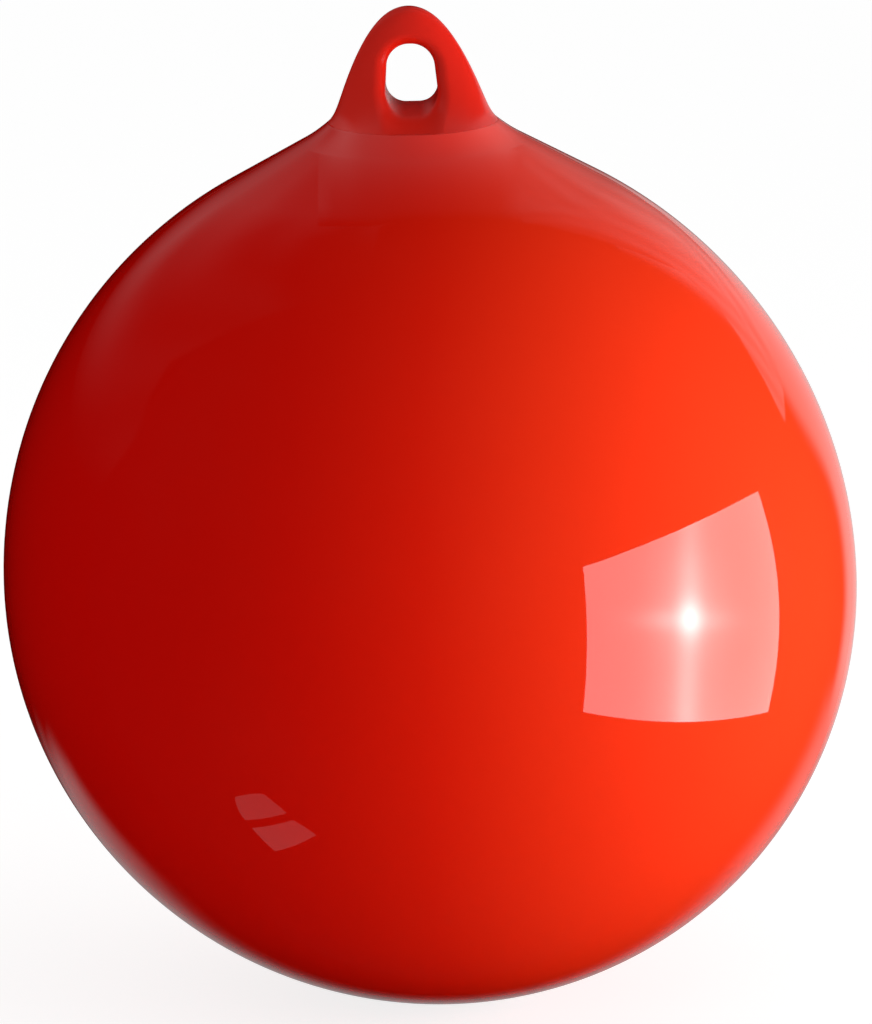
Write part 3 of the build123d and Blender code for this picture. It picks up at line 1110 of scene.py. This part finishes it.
def build_near_veil():
    """The part of that veil over the front of the straight run to the eye. It fades slowly
    downward there, so it hangs just over the eye, where each place on the run sees its own."""
    columns, rows = NEAR_VEIL_GRID
    x = np.linspace(*NEAR_VEIL_SPAN, columns)
    low, high = by_table(x, NEAR_VEIL_LOW), by_table(x, NEAR_VEIL_HIGH)
    t = np.linspace(0, 1, rows)
    y = low[:, None] * (1 - t) + high[:, None] * t
    p, d = mirror_rays(np.stack([np.repeat(x, rows), y.ravel()], -1))
    spots = (p + d * ((NEAR_VEIL_Z - p[:, 2]) / d[:, 2])[:, None]).reshape(columns, rows, 3)
    beyond = [spots[:, -1:] + (spots[:, -1:] - spots[:, -3:-2]) * k for k in (1, 2)]
    spots = np.concatenate([spots] + beyond, axis=1)
    t = np.concatenate([t, [1.1, 1.2]])
    full = by_table(x, NEAR_VEIL_LEVELS)[:, None]
    fade = NEAR_VEIL_TOP * np.exp(-NEAR_VEIL_FALL * (1 - t)) * smooth_step(-0.04, 0.2, t)
    far = veil_light(*bearings(d.reshape(columns, rows, 3)[:, -1]))[:, None]
    own = (smooth_step(316, 338, x) * (1 - smooth_step(500, 524, x)))[:, None]
    glow = full * fade * own + far * np.minimum(1, 4 * t) * (1 - own)
    glow_sheet("near_veil", spots.reshape(-1, 3), grid_faces(columns, rows + 2), glow.ravel())


def build_neck_veil():
    """The same veil close over the sweep of the skin up to the eye, brightest at the neck."""
    columns, rows = NECK_VEIL_GRID
    turn = np.radians(np.linspace(*NECK_VEIL_SPAN, columns))
    radius = np.linspace(NECK_RADIUS, NECK_RADIUS + NECK_SWEEP + NECK_VEIL_PAST, rows)
    turn, radius = (v.ravel() for v in np.meshgrid(turn, radius, indexing="ij"))
    height = cone_height(radius) + swept_up(radius)
    p = lean(np.stack([radius * np.sin(turn), -radius * np.cos(turn), height], -1))
    d = p - np.array(camera_axes()[0]) * CAMERA_FAR / MM
    d /= np.linalg.norm(d, axis=1)[:, None]
    away = mirrored(p, d)
    full = by_table(p[:, 0] + NECK_VEIL_SHIFT, NECK_VEIL_LEVELS)
    rise = np.clip((NECK_RADIUS + NECK_SWEEP - radius) / NECK_SWEEP, 0, 1)
    turn = np.degrees(turn)
    own = (1 - smooth_step(50, 78, turn)) * (1 - smooth_step(42, 70, -turn))
    glow = full * (NECK_VEIL_LOW + NECK_VEIL_RISE * rise) * own + veil_light(*bearings(away)) * (1 - own)
    glow_sheet("neck_veil", (p + away * NECK_VEIL_FAR) * MM, grid_faces(columns, rows), glow)


def build_backdrop():
    """Far wall and table behind the float, which show only along its rim."""
    across = np.radians(np.linspace(-80, 80, BACKDROP_GRID[0]))
    rise = np.radians(np.linspace(-60, 40, BACKDROP_GRID[1]))
    a, e = (v.ravel() for v in np.meshgrid(across, rise, indexing="ij"))
    points = np.stack([np.sin(a) * np.cos(e), np.cos(a) * np.cos(e), np.sin(e)], -1) * BACKDROP_FAR
    a, e = np.degrees(a), np.degrees(e)
    wall_end = 34 + 8 * smooth_step(-8, 6, e)
    wall = WALL_LEVEL * smooth_step(4, 12, a) * (1 - smooth_step(wall_end - 4, wall_end + 4, a))
    wall = wall * smooth_step(-24, -18, e)
    table_edge = -21 + 0.2 * np.minimum(a + 15, 0)
    table = TABLE_LEVEL * (1 - smooth_step(table_edge - 2, table_edge + 2, e)) * smooth_step(-44, -32, a)
    table = table * by_table(-e, TABLE_BY_DEPTH) * (1 - smooth_step(30, 45, a))
    glow_sheet("backdrop", points, grid_faces(*BACKDROP_GRID), np.maximum(wall, table))


def key_light():
    """The softbox as a lamp, at the place where its image in the float puts it."""
    _, d = mirror_rays(KEY_CORNERS)
    place = Vector(d.sum(0) / np.linalg.norm(d.sum(0)) * KEY_FAR)
    data = bpy.data.lights.new("key", "AREA")
    data.shape = "RECTANGLE"
    data.size, data.size_y = KEY_SIZE
    data.energy = KEY_POWER
    obj = bpy.data.objects.new("key", data)
    bpy.context.scene.collection.objects.link(obj)
    obj.location = place
    obj.rotation_mode = "QUATERNION"
    obj.rotation_quaternion = (-place).to_track_quat("-Z", "Y")
    obj.visible_glossy = False


def build_stage():
    build_floor()
    build_world()
    build_camera()
    mirrored_card("softbox", SOFTBOX, softbox_glow, SOFTBOX_STEPS)
    mirrored_card("pane_one", PANE_ONE, even_glow(PANE_GLOWS[0]), PANE_STEPS)
    mirrored_card("pane_two", PANE_TWO, even_glow(PANE_GLOWS[1]), PANE_STEPS)
    build_veil()
    build_near_veil()
    build_neck_veil()
    build_backdrop()
    key_light()
    bpy.context.scene.view_settings.view_transform = "Standard"


dress()
build_stage()
